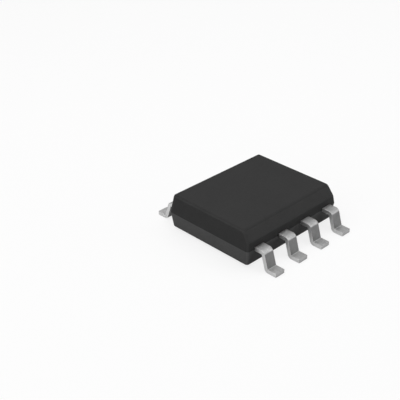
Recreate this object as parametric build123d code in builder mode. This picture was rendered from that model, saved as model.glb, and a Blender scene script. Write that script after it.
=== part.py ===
from build123d import *

import os
from math import radians, tan

# Power transistor in an eight-lead small-outline package for surface mounting.
#
# Sizes are in millimetres. The origin is the centre of the footprint, on the board. +Z points
# away from the board, +X runs along the body from lead 1 to lead 4, and +Y crosses it from the
# row of leads 1 to 4 to the row of leads 5 to 8. Seen from above the leads are numbered
# anticlockwise: 1 to 3 are the source, 4 is the gate and 5 to 8 are the drain.

# Moulded body
body_length = 5.00  # X, at the parting line
body_width = 4.00  # Y, at the parting line
body_height = 1.37
standoff = 0.10  # board to underside
draft_angle = 8.0
corner_radius = 0.12  # upright corners, and round the top and the chamfer's ends
base_radius = 0.03  # round the underside
chamfer_run = 0.22  # across the top, along leads 1 to 4
chamfer_drop = 0.43  # down the side
chamfer_blend = 0.20  # along the chamfer's top and foot

# Leads
lead_pitch = 1.27
leads_per_side = 4
lead_width = 0.45
stock_thickness = 0.15  # of the stamped strip
shoulder_height = 0.65  # board to the underside of a lead's shoulder
tip_to_tip = 6.03
foot_run = 0.44  # from the heel's corner to the toe
riser_angle = 72.5  # above the board
inside_bend_radius = 0.03

# Stamped metal inside the body
bar_cover = 0.34  # moulding outside the bars that join the leads
bar_width = 0.42  # source bar and gate pad
frame_gap = 0.24  # between pieces at different voltages
drain_bar_width = 0.30
paddle_drop = 0.20  # of the die paddle below the leads
ramp_angle = 45.0
paddle_cover = 0.64  # moulding beyond the ends of the paddle
paddle_corner_radius = 0.15
lock_hole_diameter = 0.20  # moulding keys through these

# Die and its solder
die_length = 2.50  # X
die_width = 1.55  # Y
die_thickness = 0.20
solder_thickness = 0.03
solder_margin = 0.05  # solder showing round the die
metal_thickness = 0.01
edge_termination = 0.09  # bare silicon round the pads
gate_pad_size = 0.34
pad_gap = 0.06

# Bond wires
source_wire_count = 6
wire_diameter = 0.05
wire_flat_count = 8  # the thin round wires and their balls are drawn with flats
ball_diameter = 0.11
ball_height = 0.03
loop_height = 0.17  # of the wire's middle above the pad
loop_radius = 0.08
kink_share = 0.45  # of the span, where the loop starts down
kink_drop = 0.03
kink_radius = 0.25
stitch_length = 0.14
stitch_width = 0.09
stitch_height = 0.02
wire_row_gap = 0.32  # between the two rows of balls
wire_edge_margin = 0.22  # from a pad's or bar's edge to a wire

# Levels
package_height = standoff + body_height
lead_middle = shoulder_height + stock_thickness / 2
lead_top = shoulder_height + stock_thickness
parting_height = lead_middle
foot_middle = stock_thickness / 2
paddle_middle = lead_middle - paddle_drop
paddle_top = lead_top - paddle_drop
die_bottom = paddle_top + solder_thickness
die_top = die_bottom + die_thickness
pad_top = die_top + metal_thickness

# Places along Y, as distances from the middle
side = body_width / 2
toe = tip_to_tip / 2
heel = toe - foot_run
shoulder = heel - (lead_middle - foot_middle) / tan(radians(riser_angle))
bar_outer = side - bar_cover
bar_inner = bar_outer - bar_width
bar_middle = bar_outer - bar_width / 2
paddle_front = bar_inner - frame_gap
drain_bar_inner = bar_outer - drain_bar_width
drain_bar_middle = bar_outer - drain_bar_width / 2
paddle_back = drain_bar_inner - paddle_drop / tan(radians(ramp_angle))
mid_bend_radius = inside_bend_radius + stock_thickness / 2

# Places along X
lead_places = [(i - (leads_per_side - 1) / 2) * lead_pitch for i in range(leads_per_side)]
source_places = lead_places[:-1]
gate_place = lead_places[-1]
source_bar_start = source_places[0] - lead_width / 2
source_bar_end = source_places[-1] + lead_width / 2
gate_bar_start = source_bar_end + frame_gap
gate_bar_end = gate_place + lead_width / 2
gate_bar_middle = (gate_bar_start + gate_bar_end) / 2
drain_bar_length = lead_places[-1] - lead_places[0] + lead_width
paddle_length = body_length - 2 * paddle_cover
strip_half_length = leads_per_side * lead_pitch / 2

# The die, in the middle of the paddle's flat, and its pads
die_middle = (paddle_back - paddle_front) / 2
pad_right = die_length / 2 - edge_termination
pad_front = die_middle - die_width / 2 + edge_termination
gate_pad_centre = (pad_right - gate_pad_size / 2, pad_front + gate_pad_size / 2)
gate_corner = gate_pad_size + pad_gap

# The chamfer, as distances from the middle along Y, and the height of its foot
chamfer_foot = package_height - chamfer_drop
draft = tan(radians(draft_angle))
chamfer_top_y = side - (package_height - parting_height) * draft - chamfer_run
chamfer_foot_y = side - (chamfer_foot - parting_height) * draft


def folded_strip(*corners):
    """A length of the strip along X, folded where its middle turns, at corners given as (Y, Z)."""
    with BuildPart() as strip:
        with BuildSketch(Plane.YZ):
            with BuildLine():
                FilletPolyline(*corners, radius=mid_bend_radius)
            trace(line_width=stock_thickness)
        extrude(amount=strip_half_length, both=True)
    return strip.part


def bond_wire(ball, stitch):
    """A wire from a ball on a pad, over its loop, to a stitch on a lead's top, both as (X, Y)."""
    start = Vector(*ball, pad_top)
    end = Vector(*stitch, lead_top)
    level = Vector(end.X - start.X, end.Y - start.Y, 0)
    with BuildPart() as wire:
        with BuildLine():
            FilletPolyline(
                start,
                start + Vector(0, 0, loop_height),
                start + level * kink_share + Vector(0, 0, loop_height - kink_drop),
                end - Vector(0, 0, wire_diameter / 2),
                radius=(loop_radius, kink_radius),
            )
        with BuildSketch(Plane.XY.offset(pad_top)):
            with Locations(ball):
                RegularPolygon(wire_diameter / 2, wire_flat_count)
        sweep()
        with BuildSketch(Plane.XY.offset(pad_top)):
            with Locations(ball):
                RegularPolygon(ball_diameter / 2, wire_flat_count)
        extrude(amount=ball_height)
        with BuildSketch(Plane(origin=end, x_dir=level, z_dir=(0, 0, 1))):
            Rectangle(stitch_length, stitch_width)
        extrude(amount=stitch_height)
        split(bisect_by=Plane.XY.offset(lead_top), keep=Keep.TOP)
    return wire.part


# Drain: four leads and the die paddle, stamped and folded in one piece
with BuildPart() as drain_leadframe:
    add(
        folded_strip(
            (-paddle_front, paddle_middle),
            (paddle_back, paddle_middle),
            (drain_bar_inner, lead_middle),
            (shoulder, lead_middle),
            (heel, foot_middle),
            (toe, foot_middle),
        )
    )
    with BuildSketch():
        with Locations((0, (drain_bar_inner - paddle_front) / 2)):
            paddle = Rectangle(paddle_length, drain_bar_inner + paddle_front)
        fillet(paddle.vertices().group_by(Axis.Y)[0], paddle_corner_radius)
        with Locations((0, drain_bar_middle)):
            Rectangle(drain_bar_length, drain_bar_width)
        with Locations([(x, drain_bar_middle) for x in lead_places]):
            Rectangle(lead_width, tip_to_tip, align=(Align.CENTER, Align.MIN))
        with Locations((0, drain_bar_middle)):
            with GridLocations(lead_pitch, 0, leads_per_side - 1, 1):
                Circle(lock_hole_diameter / 2, mode=Mode.SUBTRACT)
    extrude(amount=package_height, mode=Mode.INTERSECT)
drain_leadframe.part.label = "drain_leadframe"

# The strip that the source and gate leads are stamped from
front_strip = folded_strip(
    (-bar_inner, lead_middle),
    (-shoulder, lead_middle),
    (-heel, foot_middle),
    (-toe, foot_middle),
)

# Source: three leads joined by a bar
with BuildPart() as source_leadframe:
    add(front_strip)
    with BuildSketch():
        with Locations(((source_bar_start + source_bar_end) / 2, -bar_middle)):
            Rectangle(source_bar_end - source_bar_start, bar_width)
        with Locations([(x, -bar_middle) for x in source_places]):
            Rectangle(lead_width, tip_to_tip, align=(Align.CENTER, Align.MAX))
    extrude(amount=package_height, mode=Mode.INTERSECT)
source_leadframe.part.label = "source_leadframe"

# Gate: one lead with its bonding pad
with BuildPart() as gate_lead:
    add(front_strip)
    with BuildSketch():
        with Locations((gate_bar_middle, -bar_middle)):
            Rectangle(gate_bar_end - gate_bar_start, bar_width)
        with Locations((gate_place, -bar_middle)):
            Rectangle(lead_width, tip_to_tip, align=(Align.CENTER, Align.MAX))
    extrude(amount=package_height, mode=Mode.INTERSECT)
gate_lead.part.label = "gate_lead"

# Solder under the die
with BuildPart() as die_solder:
    with BuildSketch(Plane.XY.offset(paddle_top)):
        with Locations((0, die_middle)):
            Rectangle(die_length + 2 * solder_margin, die_width + 2 * solder_margin)
    extrude(amount=solder_thickness)
die_solder.part.label = "die_solder"

# Silicon die
with BuildPart() as silicon_die:
    with BuildSketch(Plane.XY.offset(die_bottom)):
        with Locations((0, die_middle)):
            Rectangle(die_length, die_width)
    extrude(amount=die_thickness)
silicon_die.part.label = "silicon_die"

# Source metal, over the die but for its rim and the gate pad's corner
with BuildPart() as source_pad:
    with BuildSketch(Plane.XY.offset(die_top)):
        with Locations((0, die_middle)):
            Rectangle(die_length - 2 * edge_termination, die_width - 2 * edge_termination)
        with Locations((pad_right, pad_front)):
            Rectangle(2 * gate_corner, 2 * gate_corner, mode=Mode.SUBTRACT)
    extrude(amount=metal_thickness)
source_pad.part.label = "source_pad"

# Gate metal
with BuildPart() as gate_pad:
    with BuildSketch(Plane.XY.offset(die_top)):
        with Locations(gate_pad_centre):
            Rectangle(gate_pad_size, gate_pad_size)
    extrude(amount=metal_thickness)
gate_pad.part.label = "gate_pad"

# Source wires, fanned out from two rows of balls to the source bar
first_ball = -pad_right + wire_edge_margin
last_ball = pad_right - gate_corner - wire_edge_margin
first_stitch = source_bar_start + wire_edge_margin
last_stitch = source_bar_end - wire_edge_margin
front_row = pad_front + wire_edge_margin
source_wires = []
for i in range(source_wire_count):
    share = i / (source_wire_count - 1)
    ball = (first_ball + share * (last_ball - first_ball), front_row + i % 2 * wire_row_gap)
    stitch = (first_stitch + share * (last_stitch - first_stitch), -bar_middle)
    wire = bond_wire(ball, stitch)
    wire.label = f"source_wire_{i + 1}"
    source_wires.append(wire)

# Gate wire
gate_wire = bond_wire(gate_pad_centre, (gate_bar_middle, -bar_middle))
gate_wire.label = "gate_wire"

inner_pieces = [
    drain_leadframe.part,
    source_leadframe.part,
    gate_lead.part,
    die_solder.part,
    silicon_die.part,
    source_pad.part,
    gate_pad.part,
    *source_wires,
    gate_wire,
]

# Lower half of the body, drafted down from the parting line; its shortest edges are the upright ones
with BuildPart() as lower_half:
    with BuildSketch(Plane.XY.offset(parting_height)):
        Rectangle(body_length, body_width)
    extrude(amount=standoff - parting_height, taper=draft_angle)
    fillet(lower_half.edges().group_by(SortBy.LENGTH)[0], corner_radius)
    fillet(lower_half.faces().sort_by(Axis.Z)[0].edges(), base_radius)

# Body: the upper half drafted up and chamfered, the lower half, and the room the rest takes up
with BuildPart() as moulded_body:
    with BuildSketch(Plane.XY.offset(parting_height)):
        Rectangle(body_length, body_width)
    extrude(amount=package_height - parting_height, taper=draft_angle)
    with BuildSketch(Plane.YZ):
        with BuildLine():
            Polyline(
                (-chamfer_top_y, package_height),
                (-chamfer_foot_y, chamfer_foot),
                (-side, chamfer_foot),
                (-side, package_height),
                close=True,
            )
        make_face()
    extrude(amount=body_length / 2, both=True, mode=Mode.SUBTRACT)
    chamfer_middle = (0, -(chamfer_top_y + chamfer_foot_y) / 2, package_height - chamfer_drop / 2)
    chamfer_face = moulded_body.faces().sort_by_distance(chamfer_middle)[0]
    fillet(chamfer_face.edges().filter_by(Axis.X), chamfer_blend)
    end_faces = moulded_body.faces().sort_by(Axis.X)
    end_rims = [end.edges().sort_by(Axis.Z)[1:] for end in (end_faces[0], end_faces[-1])]
    back_rim = moulded_body.faces().sort_by(Axis.Z)[-1].edges().sort_by(Axis.Y)[-1]
    fillet([*end_rims[0], *end_rims[1], back_rim], corner_radius)
    add(lower_half.part)
    for piece in inner_pieces:
        add(piece, mode=Mode.SUBTRACT)
moulded_body.part.label = "moulded_body"

os.makedirs("parts", exist_ok=True)
for piece in [moulded_body.part, *inner_pieces]:
    export_step(piece, f"parts/{piece.label}.step")
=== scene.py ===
from math import cos, pi, radians, sin

import bpy
import numpy as np
from mathutils import Matrix, Vector


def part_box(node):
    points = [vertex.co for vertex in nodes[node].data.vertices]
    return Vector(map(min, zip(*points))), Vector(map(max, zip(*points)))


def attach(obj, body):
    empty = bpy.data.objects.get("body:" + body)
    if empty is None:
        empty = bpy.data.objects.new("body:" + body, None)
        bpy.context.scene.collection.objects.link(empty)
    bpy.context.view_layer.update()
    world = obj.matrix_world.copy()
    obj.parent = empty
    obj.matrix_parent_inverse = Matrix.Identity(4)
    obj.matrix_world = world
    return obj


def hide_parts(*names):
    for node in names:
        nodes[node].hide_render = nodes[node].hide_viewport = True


# Finishes, bond wires, light and camera for a power transistor in an eight-lead package.
#
# Lengths are in millimetres up to the point where they are handed to the scene, which is in
# metres. The frame is the part's own: +Z away from the board, +X along the body from lead 1 to
# lead 4, +Y across it from the row of leads 1 to 4 to the row of leads 5 to 8.

MM = 0.001

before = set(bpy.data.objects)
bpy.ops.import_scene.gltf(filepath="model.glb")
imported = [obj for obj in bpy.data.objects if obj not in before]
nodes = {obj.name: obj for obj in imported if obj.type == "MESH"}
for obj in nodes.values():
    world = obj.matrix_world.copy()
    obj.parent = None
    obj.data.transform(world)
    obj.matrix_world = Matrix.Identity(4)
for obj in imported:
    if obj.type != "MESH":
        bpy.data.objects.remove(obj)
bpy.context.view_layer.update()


# Places taken from the frame
def corners(name):
    """Lowest and highest corner of a CAD node."""
    low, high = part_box(name)
    return low / MM, high / MM


def node_points(name):
    """The vertices of a CAD node, one a row."""
    mesh = nodes[name].data
    flat = np.empty(3 * len(mesh.vertices))
    mesh.vertices.foreach_get("co", flat)
    return flat.reshape(-1, 3) / MM


body_side = corners("moulded_body")[1].y
lead_low, lead_high = corners("gate_lead")
lead_top = lead_high.z
toe = -lead_low.y
pad_top = corners("source_pad")[1].z

# Places on the leads; those without a height are distances from the middle of the part
strip_thickness = 0.15
parting_height = lead_top - strip_thickness / 2
shoulder_bend = 2.40  # where the shoulders turn down
riser_top = 0.72  # height at which the steep part of a lead ends, under its shoulder bend
riser_foot = 2.72  # where the steep part meets the foot
bar_outer = 1.66  # sides of the bars inside the body that join the leads
bar_inner = 1.24

# Places of the colour sockets on a Mix node, whose names its other sockets share
COLOUR_A = 6
COLOUR_B = 7
COLOUR_RESULT = 2


# Node tree helpers
def put(tree, kind, inputs=None, **settings):
    """Adds a node, with its settings, and fills its sockets with values or other nodes' outputs."""
    made = tree.nodes.new(kind)
    for name, value in settings.items():
        setattr(made, name, value)
    for name, value in (inputs or {}).items():
        if isinstance(value, bpy.types.NodeSocket):
            tree.links.new(value, made.inputs[name])
        else:
            made.inputs[name].default_value = value
    return made


def maths(tree, operation, *values, clamp=False):
    """The result of a Math node on up to three values."""
    made = put(tree, "ShaderNodeMath", dict(enumerate(values)), operation=operation, use_clamp=clamp)
    return made.outputs[0]


def product(tree, first, *others):
    """The product of several values."""
    for other in others:
        first = maths(tree, "MULTIPLY", first, other)
    return first


def spread(tree, value, low, high, to_low=0.0, to_high=1.0):
    """Value stretched so that low to high becomes to_low to to_high, smoothly, and stays there."""
    inputs = {"Value": value, "From Min": low, "From Max": high, "To Min": to_low, "To Max": to_high}
    return put(tree, "ShaderNodeMapRange", inputs, interpolation_type="SMOOTHSTEP").outputs[0]


def fading(tree, value, low, high):
    """1 where value is up to low, falling smoothly to 0 at high."""
    return spread(tree, value, low, high, 1.0, 0.0)


def between(tree, mask, ends):
    """The first of two ends where a mask is 0, the second where it is 1."""
    return spread(tree, mask, 0.0, 1.0, *ends)


def band(tree, value, middle, reach, flat=0.0):
    """1 where value is within flat of the middle, falling smoothly to 0 at reach from it."""
    return fading(tree, maths(tree, "ABSOLUTE", maths(tree, "SUBTRACT", value, middle)), flat, reach)


def blended(tree, share, first, second):
    """A colour between the first, at share 0, and the second, at share 1."""
    inputs = {"Factor": share, COLOUR_A: first, COLOUR_B: second}
    return put(tree, "ShaderNodeMix", inputs, data_type="RGBA").outputs[COLOUR_RESULT]


def grey(value, warmth=0.0):
    """A near neutral colour; warmth moves it towards red and away from blue."""
    return (value * (1 + warmth), value, value * (1 - warmth), 1)


def place_mm(tree, stretch=(1, 1, 1)):
    """The point's place in millimetres, each axis stretched."""
    place = put(tree, "ShaderNodeTexCoord").outputs["Object"]
    factors = tuple(s / MM for s in stretch)
    return put(tree, "ShaderNodeVectorMath", {0: place, 1: factors}, operation="MULTIPLY").outputs[0]


def axes(tree, vector):
    """The X, Y and Z of a vector."""
    parts = put(tree, "ShaderNodeSeparateXYZ", {0: vector}).outputs
    return parts["X"], parts["Y"], parts["Z"]


def noise(tree, place, scale, detail=2.0, roughness=0.5):
    """Cloudy noise from 0 to 1, with about as many patches to the millimetre as scale says."""
    inputs = {"Vector": place, "Scale": scale, "Detail": detail, "Roughness": roughness}
    return put(tree, "ShaderNodeTexNoise", inputs).outputs[0]


def new_group(name, inputs, outputs):
    """An empty node group with named sockets, and the sockets themselves to wire from and to."""
    tree = bpy.data.node_groups.new(name, "ShaderNodeTree")
    for socket, value in inputs.items():
        made = tree.interface.new_socket(socket, in_out="INPUT", socket_type="NodeSocketFloat")
        made.default_value = value
    for socket, kind in outputs.items():
        tree.interface.new_socket(socket, in_out="OUTPUT", socket_type=kind)
    start = put(tree, "NodeGroupInput").outputs
    end = put(tree, "NodeGroupOutput").inputs
    return tree, start, end


def use(tree, group, **values):
    """A group placed in a material with its own values."""
    made = put(tree, "ShaderNodeGroup", node_tree=group)
    for name, value in values.items():
        made.inputs[name.replace("_", " ")].default_value = value
    return made.outputs


# Effects that several finishes share
grain_limits = (0.3, 0.7)  # heights of the fine noise where its mask is 0 and 1
cloud_limits = (0.32, 0.68)  # and those of the broad noise


def grain_group():
    """Fine random grain: a height for bump, the same grain as a mask, and a mask of broader clouds."""
    inputs = {"Grain size": 0.05, "Cloud size": 1.0}
    outputs = {"Height": "NodeSocketFloat", "Grain": "NodeSocketFloat", "Clouds": "NodeSocketFloat"}
    tree, start, end = new_group("fine_grain", inputs, outputs)
    place = place_mm(tree)
    grain_scale = maths(tree, "DIVIDE", 1.0, start["Grain size"])
    cloud_scale = maths(tree, "DIVIDE", 1.0, start["Cloud size"])
    fine = noise(tree, place, grain_scale, roughness=0.6)
    broad = noise(tree, place, cloud_scale, detail=3.0, roughness=0.55)
    tree.links.new(fine, end["Height"])
    tree.links.new(spread(tree, fine, *grain_limits), end["Grain"])
    tree.links.new(spread(tree, broad, *cloud_limits), end["Clouds"])
    return tree


def edge_group():
    """Edges seen as slightly rounded: the rounded normal, and a mask that is 1 on the worn edge."""
    inputs = {"Radius mm": 0.02, "Sharpness": 12.0}
    outputs = {"Normal": "NodeSocketVector", "Edge": "NodeSocketFloat"}
    tree, start, end = new_group("worn_edges", inputs, outputs)
    radius = maths(tree, "MULTIPLY", start["Radius mm"], MM)
    rounded = put(tree, "ShaderNodeBevel", {"Radius": radius}, samples=8).outputs[0]
    flat = put(tree, "ShaderNodeNewGeometry").outputs["True Normal"]
    facing = put(tree, "ShaderNodeVectorMath", {0: rounded, 1: flat}, operation="DOT_PRODUCT")
    bent = maths(tree, "SUBTRACT", 1.0, facing.outputs["Value"])
    tree.links.new(rounded, end["Normal"])
    tree.links.new(maths(tree, "MULTIPLY", bent, start["Sharpness"], clamp=True), end["Edge"])
    return tree


fine_grain = grain_group()
worn_edges = edge_group()


# What every finish is made with
def new_finish(name, **sockets):
    """A material and its node tree; its Principled shader's sockets take the plain values given."""
    material = bpy.data.materials.new(name)
    material.use_nodes = True
    tree = material.node_tree
    for socket, value in sockets.items():
        tree.nodes["Principled BSDF"].inputs[socket.replace("_", " ")].default_value = value
    return material, tree


def finished(material, colour, roughness, normal):
    """The material, with what changes over its surface joined to its shader."""
    tree = material.node_tree
    sockets = tree.nodes["Principled BSDF"].inputs
    tree.links.new(colour, sockets["Base Color"])
    tree.links.new(roughness, sockets["Roughness"])
    tree.links.new(normal, sockets["Normal"])
    return material


def bump(tree, height, depth, normal):
    """Bump on a height from 0 to 1, depth millimetres deep, over a normal."""
    inputs = {"Height": height, "Distance": depth * MM, "Normal": normal}
    return put(tree, "ShaderNodeBump", inputs).outputs[0]


def plain_normal(tree):
    """The surface's own normal."""
    return put(tree, "ShaderNodeNewGeometry").outputs["Normal"]


# Moulding compound
compound_tone = 0.0338
compound_clouds = (0.94, 1.06)  # darkest and palest, as shares of the tone
pale_grain_tone = 1.35  # of the silica grains, as a share of the tone
pale_grain_share = 0.3  # how far the grains show
lower_half_painted_light = 2.25  # painted light: the lower mould half is made paler, as light from below would make it
slope_painted_highlight = 1.33  # painted highlight: the chamfer, the rounded rims and the corners are made paler, less than the lower half
parting_blend = 0.012  # from the parting line, where the painted paler lower half and the plain upper half are each in full
slope_rise = 0.5  # Z of the normal on a slope
slope_flat = 0.12  # how far from that the slope's painted highlight is whole
slope_reach = 0.28  # and where it ends
corner_limits = (0.2, 0.42)  # X times Y of the normal where a corner's painted highlight starts and is whole
compound_roughness = (0.48, 0.53)
compound_grain_depth = 0.003


def moulding_compound():
    """Black epoxy filled with ground silica: spark-eroded grain, faint clouds and tiny pale grains;
    painted light pales its lower half, chamfer, rounded rims and corners.
    """
    material, tree = new_finish("moulding_compound", IOR=1.5, Specular_IOR_Level=0.07)
    grain = use(tree, fine_grain, Grain_size=0.045, Cloud_size=1.3)
    edge = use(tree, worn_edges, Radius_mm=0.05, Sharpness=5.0)
    dark, pale = (grey(compound_tone * share) for share in compound_clouds)
    tone = blended(tree, grain["Clouds"], dark, pale)
    pale_grains = product(tree, grain["Grain"], pale_grain_share)
    tone = blended(tree, pale_grains, tone, grey(compound_tone * pale_grain_tone))
    height = axes(tree, place_mm(tree))[2]
    halves = (parting_height - parting_blend, parting_height + parting_blend)
    # painted light: the lower mould half is made paler than the upper
    painted_lower_light = spread(tree, height, *halves, lower_half_painted_light, 1.0)
    across, along, upward = axes(tree, edge["Normal"])
    # painted highlight: slopes and upright corners are made paler by which way they face
    slope = band(tree, upward, slope_rise, slope_reach, slope_flat)
    corner = spread(tree, maths(tree, "ABSOLUTE", product(tree, across, along)), *corner_limits)
    painted_highlight_gain = between(tree, maths(tree, "MAXIMUM", slope, corner), (1.0, slope_painted_highlight))
    gain = product(tree, painted_lower_light, painted_highlight_gain)
    tone = put(tree, "ShaderNodeVectorMath", {0: tone, "Scale": gain}, operation="SCALE").outputs[0]
    roughness = between(tree, grain["Clouds"], compound_roughness)
    normal = bump(tree, grain["Height"], compound_grain_depth, edge["Normal"])
    return finished(material, tone, roughness, normal)


# Tin plate outside the body
tin_tone = 0.50
tin_grain = (0.90, 1.08)  # darkest and palest, as shares of the tone
# The marks on it, real ones and painted light and shade, each over the ones before: its tone, as a share
# of the tin's, and how far it shows
tin_marks = {
    "clouds": (0.80, 0.40),
    "drawn_lines": (1.25, 0.60),
    "worn_edges": (1.15, 0.40),
    # sheared faces and painted light: the lead's sides are made paler
    "sheared_sides_and_painted_light": (1.28, 1.00),
    # painted shade: the broad steep faces under the shoulder bend are made darker
    "painted_shade_riser": (0.39, 0.90),
    "sheared_toe": (0.82, 0.80),
    # mould residue and painted shade: the leads are made darker where they leave the body
    "body_stain_and_painted_shade": (0.55, 0.28),
}
drawn_width = 0.03  # of the lines that rolling leaves along the strip
drawn_stretch = (1, 0.12, 1)
drawn_limits = (0.52, 0.70)  # heights of their noise where they start and are whole
sheared_width = 0.02  # of the lines that the cut leaves down a toe
sheared_stretch = (1, 1, 0.1)
side_limits = (0.5, 0.8)  # X of the normal where a lead's sides start and are whole
steep_limits = (0.6, 0.95)  # Z of the normal where what is steep starts to end and ends
riser_top_blend = 0.05
riser_foot_blend = 0.08
toe_depth = 0.004  # from the toe, what counts as its end face
stain_and_shade_reach = 0.36  # from the body's side
burnish_reach = 0.12  # from the shoulder bend
burnish_limits = (0.16, 0.02)  # below the lead's top, where the burnish starts and is whole
burnish_gloss = 0.08  # how much less rough it is
tin_roughness = (0.38, 0.50)
tin_score_depth = 0.0025
tin_grain_depth = 0.003

# Copper inside the body, with silver spots for the bond wires
copper_tones = ((0.80, 0.42, 0.28, 1), (0.90, 0.54, 0.38, 1))
silver_tones = (grey(0.82, 0.02), grey(0.90, 0.02))
spot_reach = 0.42  # from the middle of the bar, as a share of its width
spot_limits = (0.05, 0.2)  # of the spot's mask, where the silver starts and is whole
plating_depth = 0.01  # how far the tin runs into the body


def matte_tin():
    """Dull tin plate with the marks of rolling, shearing and bending, painted shade on the risers and near
    the body, and painted light on the sides; copper and silver inside.
    """
    material, tree = new_finish("matte_tin", Metallic=1.0)
    grain = use(tree, fine_grain, Grain_size=0.05, Cloud_size=0.16)
    edge = use(tree, worn_edges, Radius_mm=0.03, Sharpness=5.0)
    y, z = axes(tree, place_mm(tree))[1:]
    from_middle = maths(tree, "ABSOLUTE", y)
    across, _, upward = axes(tree, edge["Normal"])

    drawn = noise(tree, place_mm(tree, drawn_stretch), 1 / drawn_width, roughness=0.6)
    sheared = noise(tree, place_mm(tree, sheared_stretch), 1 / sheared_width, roughness=0.6)
    sides = spread(tree, maths(tree, "ABSOLUTE", across), *side_limits)
    broad = maths(tree, "SUBTRACT", 1.0, sides)
    steep = fading(tree, maths(tree, "ABSOLUTE", upward), *steep_limits)
    under_bend = fading(tree, z, riser_top - riser_top_blend, riser_top)
    before_foot = fading(tree, from_middle, riser_foot, riser_foot + riser_foot_blend)
    at_toe = maths(tree, "GREATER_THAN", from_middle, toe - toe_depth)
    masks = {
        "clouds": grain["Clouds"],
        "drawn_lines": spread(tree, drawn, *drawn_limits),
        "worn_edges": edge["Edge"],
        # sheared faces and painted light on the sides
        "sheared_sides_and_painted_light": sides,
        # painted shade on the risers
        "painted_shade_riser": product(tree, steep, broad, under_bend, before_foot),
        "sheared_toe": at_toe,
        # mould residue and painted shade near the body
        "body_stain_and_painted_shade": fading(tree, from_middle, body_side, body_side + stain_and_shade_reach),
    }
    dark, pale = (grey(tin_tone * share) for share in tin_grain)
    tin = blended(tree, grain["Grain"], dark, pale)
    for mark, (tone, share) in tin_marks.items():
        tin = blended(tree, product(tree, masks[mark], share), tin, grey(tin_tone * tone))

    spot_middle = -(bar_outer + bar_inner) / 2
    spot = band(tree, y, spot_middle, (bar_outer - bar_inner) * spot_reach)
    copper = blended(tree, grain["Clouds"], *copper_tones)
    silver = blended(tree, grain["Grain"], *silver_tones)
    inner = blended(tree, spread(tree, spot, *spot_limits), copper, silver)
    plated = maths(tree, "GREATER_THAN", from_middle, body_side - plating_depth)

    on_bend = band(tree, from_middle, shoulder_bend, burnish_reach)
    near_top = spread(tree, z, *(lead_top - depth for depth in burnish_limits))
    burnish = product(tree, on_bend, near_top, burnish_gloss)
    roughness = maths(tree, "SUBTRACT", between(tree, grain["Clouds"], tin_roughness), burnish)
    lines = put(tree, "ShaderNodeMix", {"Factor": at_toe, "A": drawn, "B": sheared}, data_type="FLOAT")
    scored = bump(tree, lines.outputs[0], tin_score_depth, edge["Normal"])
    normal = bump(tree, grain["Height"], tin_grain_depth, scored)
    return finished(material, blended(tree, plated, inner, tin), roughness, normal)


# Solder under the die
solder_tones = (grey(0.36, 0.01), grey(0.48, 0.02))
solder_roughness = (0.30, 0.50)
solder_ripple = 0.002


def die_attach_solder():
    """Dull grey solder with a slightly rippled surface."""
    material, tree = new_finish("die_attach_solder", Metallic=1.0)
    grain = use(tree, fine_grain, Grain_size=0.03, Cloud_size=0.3)
    edge = use(tree, worn_edges, Radius_mm=0.01)
    tone = blended(tree, grain["Clouds"], *solder_tones)
    roughness = between(tree, grain["Grain"], solder_roughness)
    normal = bump(tree, grain["Height"], solder_ripple, edge["Normal"])
    return finished(material, tone, roughness, normal)


# Silicon die
silicon_tones = ((0.050, 0.055, 0.070, 1), (0.070, 0.075, 0.095, 1))
sawn_limits = (0.2, 0.9)  # Z of the normal, from the sawn sides to the polished top
silicon_roughness = (0.38, 0.10)  # of the sides and of the top
saw_mark_width = 0.06
saw_mark_stretch = (1, 1, 12)
saw_mark_depth = 0.0005


def silicon():
    """Polished silicon, blue-grey, with the finely scored sides that a dicing saw leaves."""
    material, tree = new_finish("silicon", IOR=3.4)
    grain = use(tree, fine_grain, Grain_size=0.02, Cloud_size=0.5)
    edge = use(tree, worn_edges, Radius_mm=0.006)
    tone = blended(tree, grain["Clouds"], *silicon_tones)
    upward = maths(tree, "ABSOLUTE", axes(tree, edge["Normal"])[2])
    roughness = spread(tree, upward, *sawn_limits, *silicon_roughness)
    saw_marks = noise(tree, place_mm(tree, saw_mark_stretch), 1 / saw_mark_width)
    normal = bump(tree, saw_marks, saw_mark_depth, edge["Normal"])
    return finished(material, tone, roughness, normal)


# Metal on the die
pad_tones = (grey(0.74), grey(0.82))
pad_roughness = (0.30, 0.38)
pad_grain_depth = 0.0003
rib_scale = 14.0
rib_depth = 0.0012


def pad_metal():
    """Bright aluminium over the cells, with the faint ribs of the trenches under it."""
    material, tree = new_finish("pad_metal", Metallic=1.0)
    grain = use(tree, fine_grain, Grain_size=0.012, Cloud_size=0.4)
    waves = {"Vector": place_mm(tree), "Scale": rib_scale}
    ribs = put(tree, "ShaderNodeTexWave", waves, bands_direction="Y").outputs["Fac"]
    tone = blended(tree, grain["Grain"], *pad_tones)
    roughness = between(tree, grain["Clouds"], pad_roughness)
    ribbed = bump(tree, ribs, rib_depth, plain_normal(tree))
    normal = bump(tree, grain["Height"], pad_grain_depth, ribbed)
    return finished(material, tone, roughness, normal)


# Gold of the bond wires
gold_tones = ((0.93, 0.66, 0.27, 1), (1.0, 0.77, 0.38, 1))
gold_roughness = (0.16, 0.28)
gold_grain_depth = 0.0006


def gold_wire():
    """Drawn gold wire, with a faint grain and clouds."""
    material, tree = new_finish("gold_wire", Metallic=1.0)
    grain = use(tree, fine_grain, Grain_size=0.015, Cloud_size=0.12)
    tone = blended(tree, grain["Clouds"], *gold_tones)
    roughness = between(tree, grain["Grain"], gold_roughness)
    normal = bump(tree, grain["Height"], gold_grain_depth, plain_normal(tree))
    return finished(material, tone, roughness, normal)


def dress(finish, *names):
    """Gives CAD nodes a finish."""
    for name in names:
        nodes[name].data.materials.clear()
        nodes[name].data.materials.append(finish)


dress(moulding_compound(), "moulded_body")
dress(matte_tin(), "drain_leadframe", "source_leadframe", "gate_lead")
dress(die_attach_solder(), "die_solder")
dress(silicon(), "silicon_die")
dress(pad_metal(), "source_pad", "gate_pad")


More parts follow.
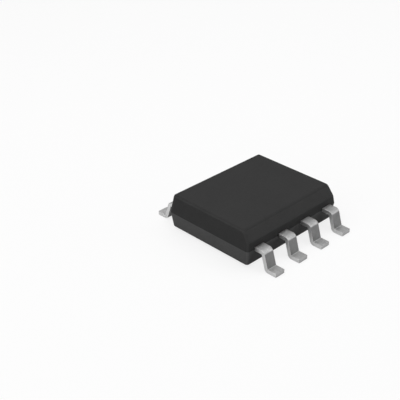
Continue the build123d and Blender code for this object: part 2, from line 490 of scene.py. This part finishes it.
# Bond wires, round and smooth, in place of the flat-sided ones of the CAD model
wire_radius = 0.025
wire_sides = 24
ring_spacing = 0.02  # along the wire, at most
arc_steps = 14  # in each bend of the wire
loop_height = 0.17  # of the wire's middle above the pad
loop_radius = 0.08
kink_share = 0.45  # of the span, where the loop starts down
kink_drop = 0.03
kink_radius = 0.25
heel_height = 0.8  # of the wire's middle above the lead where the stitch starts, in wire radii
heel_radius = 0.05
stitch_length = 0.14
stitch_half_width = 0.045
stitch_edge = 0.003  # half the thickness at the stitch's thin end
press_start = 0.03  # before the heel, where the wire starts to be pressed flat
widening = 2.2  # how much sooner the wire is widened than it is flattened
tip_start = 0.8  # share of the pressed stretch where the stitch's round tip starts
tip_least = 0.12  # square of the share of the width that is left at the very tip
face_reach = 0.001  # from a face's height, what counts as a point of it

# The squashed ball from the pad up: height above the pad, and radius
ball_profile = np.array([
    (0.0, 0.046),
    (0.004, 0.052),
    (0.010, 0.055),
    (0.017, 0.0545),
    (0.023, 0.051),
    (0.027, 0.044),
    (0.031, 0.035),
    (0.035, 0.028),
    (0.040, wire_radius),
])


def wire_ends(name):
    """The middle of a wire's ball and of its stitch, as (X, Y), from the flat faces they stand on."""
    points = node_points(name)
    ball = points[np.abs(points[:, 2] - pad_top) < face_reach, :2].mean(axis=0)
    landed = points[np.abs(points[:, 2] - lead_top) < face_reach, :2]
    along = landed.mean(axis=0) - ball
    along /= np.linalg.norm(along)
    reach = (landed - ball) @ along
    return ball, ball + along * (reach.min() + reach.max()) / 2


def rounded_path(points, radii):
    """A polyline whose inner corners are arcs of the given radii.

    An arc's point at a share of its turn is the arc's middle, plus the radius to its start times
    the sine of the turn that is left, plus the radius to its end times the sine of the turn that
    is done, both over the sine of the whole turn.
    """
    points = np.array(points, dtype=float)
    done = np.linspace(0, 1, arc_steps + 1)[:, None]
    stretches = [points[:1]]
    for before, corner, after, radius in zip(points, points[1:], points[2:], radii):
        back = (before - corner) / np.linalg.norm(before - corner)
        on = (after - corner) / np.linalg.norm(after - corner)
        half = np.arccos(np.clip(back @ on, -1, 1)) / 2
        cut = radius / np.tan(half)
        middle = corner + (back + on) / np.linalg.norm(back + on) * radius / np.sin(half)
        start = corner + back * cut - middle
        end = corner + on * cut - middle
        turn = pi - 2 * half
        arc = (start * np.sin((1 - done) * turn) + end * np.sin(done * turn)) / np.sin(turn)
        stretches.append(middle + arc)
    stretches.append(points[-1:])
    return np.vstack(stretches)


def refine(path):
    """The same path with points put in, evenly, where two are further apart than ring_spacing."""
    steps = np.diff(path, axis=0)
    counts = np.maximum(1, np.ceil(np.linalg.norm(steps, axis=1) / ring_spacing)).astype(int)
    step = np.repeat(np.arange(len(steps)), counts)
    nth = np.arange(len(step)) - np.repeat(np.cumsum(counts) - counts, counts) + 1
    return np.vstack([path[:1], path[step] + steps[step] * nth[:, None] / counts[step][:, None]])


def bond_wire_surface(ball, stitch):
    """Rings of points for one bond wire, in the plane through its ball and stitch.

    Each ring is an ellipse square to the wire's path. Up from the pad its two half-sizes are both
    the ball's profile, then both the wire's radius. Over the stitch the half-width grows to the
    stitch's and the half-height falls to a thin edge, while the path keeps the underside on the
    lead: its height there is the lead's top plus the half-height.
    """
    span = float(np.linalg.norm(stitch - ball))
    heel = span - stitch_length / 2
    turns = [
        (0.0, pad_top + ball_profile[-1, 0]),
        (0.0, pad_top + loop_height),
        (span * kink_share, pad_top + loop_height - kink_drop),
        (heel, lead_top + wire_radius * heel_height),
        (span + stitch_length / 2, lead_top + stitch_edge),
    ]
    loop = refine(rounded_path(turns, (loop_radius, kink_radius, heel_radius)))
    ball_heights, ball_sizes = ball_profile[:-1].T
    foot = np.column_stack([np.zeros_like(ball_heights), pad_top + ball_heights])

    pressed = np.clip((loop[:, 0] - (heel - press_start)) / (stitch_length + press_start), 0, 1)
    ease = pressed**2 * (3 - 2 * pressed)
    widths = wire_radius + (stitch_half_width - wire_radius) * np.minimum(1, widening * ease)
    tip = np.maximum(0, (pressed - tip_start) / (1 - tip_start))
    widths *= np.sqrt(np.clip(1 - tip**2, tip_least, 1))
    heights = wire_radius + (stitch_edge - wire_radius) * ease
    loop[:, 1] = np.where(pressed > 0, np.maximum(loop[:, 1], lead_top + heights), loop[:, 1])

    path = np.vstack([foot, loop])
    widths = np.concatenate([ball_sizes, widths])[:, None, None]
    heights = np.concatenate([ball_sizes, heights])[:, None, None]
    ahead = np.gradient(path, axis=0)
    ahead[: len(foot)] = (0.0, 1.0)
    ahead /= np.linalg.norm(ahead, axis=1, keepdims=True)
    along = (stitch - ball) / span
    across = np.array([-along[1], along[0], 0.0])
    middles = np.column_stack([ball + path[:, :1] * along, path[:, 1]])[:, None]
    upward = np.column_stack([-ahead[:, 1:] * along, ahead[:, 0]])[:, None]
    turn = np.linspace(0, 2 * pi, wire_sides, endpoint=False)[:, None]
    return middles + across * widths * np.cos(turn) + upward * heights * np.sin(turn)


def ringed_mesh(name, rings):
    """A closed mesh over rings of points, with its two ends capped.

    A wall's corners are a point, the next one round its ring, and the same two on the next ring.
    """
    count, sides = rings.shape[:2]
    here = np.arange(count * sides).reshape(count, sides)
    beside = np.roll(here, -1, axis=1)
    walls = np.stack([here[:-1], beside[:-1], beside[1:], here[1:]], axis=-1).reshape(-1, 4)
    caps = [here[0, ::-1].tolist(), here[-1].tolist()]
    mesh = bpy.data.meshes.new(name)
    mesh.from_pydata((rings.reshape(-1, 3) * MM).tolist(), [], walls.tolist() + caps)
    mesh.polygons.foreach_set("use_smooth", [True] * len(walls) + [False] * len(caps))
    mesh.update()
    return mesh


def make_bond_wires():
    """A smooth wire in place of each of the CAD model's."""
    gold = gold_wire()
    for name in sorted(name for name in nodes if "_wire" in name):
        mesh = ringed_mesh(f"smooth_{name}", bond_wire_surface(*wire_ends(name)))
        mesh.materials.append(gold)
        wire = bpy.data.objects.new(f"smooth_{name}", mesh)
        bpy.context.scene.collection.objects.link(wire)
        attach(wire, "root")
        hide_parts(name)


make_bond_wires()


# Floor
floor_radius = 600.0
floor_sides = 96
floor_gap = 0.001  # under the feet
floor_paper = 0.95
fibre_tone = 0.99  # of the darkest fibres, as a share of the paper's
fibre_size = 3.0
floor_bounce = 0.6  # what the paper sends back onto the part
floor_glow = 0.8  # share of the floor near the part that the camera sees as plain white
glow_start = 30.0  # from the middle, where that share starts to grow
glow_whole = 70.0  # and where all the floor is white
floor_shine = 0.1  # share of the floor that shows as plain white in the metal


def mirrored(tree, ray, share):
    """A share of the rays that metal or glass sends on, and none of the others."""
    return product(tree, maths(tree, "MAXIMUM", ray["Is Glossy Ray"], ray["Is Transmission Ray"]), share)


def floor_finish():
    """White paper, whose shadows the camera and the metal see at part of their depth.

    Seen from below it is clear, so that the part's underside shows.
    """
    material = bpy.data.materials.new("floor_paper")
    material.use_nodes = True
    tree = material.node_tree
    tree.nodes.clear()
    ray = put(tree, "ShaderNodeLightPath").outputs
    fibres = noise(tree, place_mm(tree), 1 / fibre_size)
    tone = blended(tree, fibres, grey(floor_paper * fibre_tone), grey(floor_paper))
    tone = blended(tree, ray["Is Diffuse Ray"], tone, grey(floor_bounce))
    paper = put(tree, "ShaderNodeBsdfDiffuse", {"Color": tone}).outputs[0]
    glow = put(tree, "ShaderNodeEmission", {"Color": grey(1.0), "Strength": 1.0}).outputs[0]
    away = put(tree, "ShaderNodeVectorMath", {0: place_mm(tree)}, operation="LENGTH").outputs["Value"]
    whiteness = spread(tree, away, glow_start, glow_whole, floor_glow, 1.0)
    seen = product(tree, ray["Is Camera Ray"], whiteness)
    share = maths(tree, "MAXIMUM", seen, mirrored(tree, ray, floor_shine))
    mixed = put(tree, "ShaderNodeMixShader", {0: share, 1: paper, 2: glow}).outputs[0]
    under = put(tree, "ShaderNodeNewGeometry").outputs["Backfacing"]
    clear = put(tree, "ShaderNodeBsdfTransparent").outputs[0]
    one_sided = put(tree, "ShaderNodeMixShader", {0: under, 1: mixed, 2: clear}).outputs[0]
    put(tree, "ShaderNodeOutputMaterial", {"Surface": one_sided})
    return material


def make_floor():
    """A large flat disc just under the feet: points at equal turns on a circle, joined by one face."""
    turn = np.linspace(0, 2 * pi, floor_sides, endpoint=False)
    ring = np.stack([np.cos(turn), np.sin(turn), np.zeros(floor_sides)], axis=1) * floor_radius
    ring[:, 2] = -floor_gap
    mesh = bpy.data.meshes.new("floor")
    mesh.from_pydata((ring * MM).tolist(), [], [list(range(floor_sides))])
    mesh.materials.append(floor_finish())
    floor = bpy.data.objects.new("floor", mesh)
    bpy.context.scene.collection.objects.link(floor)


make_floor()


# Light: a plain sky and soft boxes, each with the brightness of its face, where 1 is white paper
sky_level = 0.02
sky_shine = 0.05  # share of the sky that shows as plain white in the metal
soft_boxes = {
    "overhead": {"place": (0.0, 6.0, 64.0), "size": 100.0, "level": 1.6},
    "left": {"place": (-60.0, 6.0, 30.0), "size": 56.0, "level": 1.38},
    "back_right": {"place": (44.0, 44.0, 36.0), "size": 44.0, "level": 0.43},
    "right": {"place": (62.0, -4.0, 30.0), "size": 56.0, "level": 0.3},
    "front_right": {"place": (42.0, -36.0, 44.0), "size": 36.0, "level": 0.8},
    "low_right": {"place": (40.0, -48.0, 19.0), "size": 30.0, "level": 1.7},
    "front_left": {"place": (-42.0, -42.0, 34.0), "size": 56.0, "level": 0.2},
}
light_aim = Vector((0.0, 0.0, 0.7))


def make_soft_boxes():
    """Square area lamps that face the part."""
    for name, box in soft_boxes.items():
        lamp = bpy.data.lights.new(name, "AREA")
        lamp.shape = "SQUARE"
        lamp.size = box["size"] * MM
        lamp.energy = box["level"] * pi * lamp.size**2
        holder = bpy.data.objects.new(name, lamp)
        place = Vector(box["place"])
        holder.location = place * MM
        holder.rotation_mode = "QUATERNION"
        holder.rotation_quaternion = (light_aim - place).to_track_quat("-Z", "Y")
        bpy.context.scene.collection.objects.link(holder)


def make_sky():
    """A dim even sky, which the camera sees as plain white."""
    world = bpy.data.worlds.new("sky")
    bpy.context.scene.world = world
    world.use_nodes = True
    tree = world.node_tree
    backdrop = tree.nodes["Background"]
    backdrop.inputs["Color"].default_value = grey(1.0)
    ray = put(tree, "ShaderNodeLightPath").outputs
    share = maths(tree, "MAXIMUM", ray["Is Camera Ray"], mirrored(tree, ray, sky_shine))
    strength = maths(tree, "MULTIPLY_ADD", share, 1 - sky_level, sky_level)
    tree.links.new(strength, backdrop.inputs["Strength"])


make_soft_boxes()
make_sky()


# Camera, at the photograph's viewing angle
view_azimuth = radians(-44.96)
view_elevation = radians(30.16)
view_roll = radians(0.18)
view_distance = 32.42
view_aim = Vector((0.0, 0.0, 0.8))
aim_right = 2.026  # how far the aim lies to the right of the picture's centre
aim_up = -0.194  # and above it
lens_length = 76.72
sensor_width = 36.0
view_depth = 10000.0  # how far the camera sees


def make_camera():
    """The camera, placed so that the part falls in the picture where the photograph has it."""
    level_share = cos(view_elevation)
    back = Vector((sin(view_azimuth) * level_share, -cos(view_azimuth) * level_share, sin(view_elevation)))
    level = Vector((cos(view_azimuth), sin(view_azimuth), 0.0))
    upright = back.cross(level)
    right = cos(view_roll) * level + sin(view_roll) * upright
    up = -sin(view_roll) * level + cos(view_roll) * upright
    place = view_aim + back * view_distance - right * aim_right - up * aim_up
    camera = bpy.data.objects.new("camera", bpy.data.cameras.new("camera"))
    camera.data.sensor_width = sensor_width
    camera.data.lens = lens_length
    camera.data.clip_start = MM
    camera.data.clip_end = view_depth * MM
    camera.rotation_mode = "QUATERNION"
    camera.rotation_quaternion = Matrix((right, up, back)).transposed().to_quaternion()
    camera.location = place * MM
    bpy.context.scene.collection.objects.link(camera)
    bpy.context.scene.camera = camera


make_camera()
bpy.context.scene.view_settings.view_transform = "Standard"
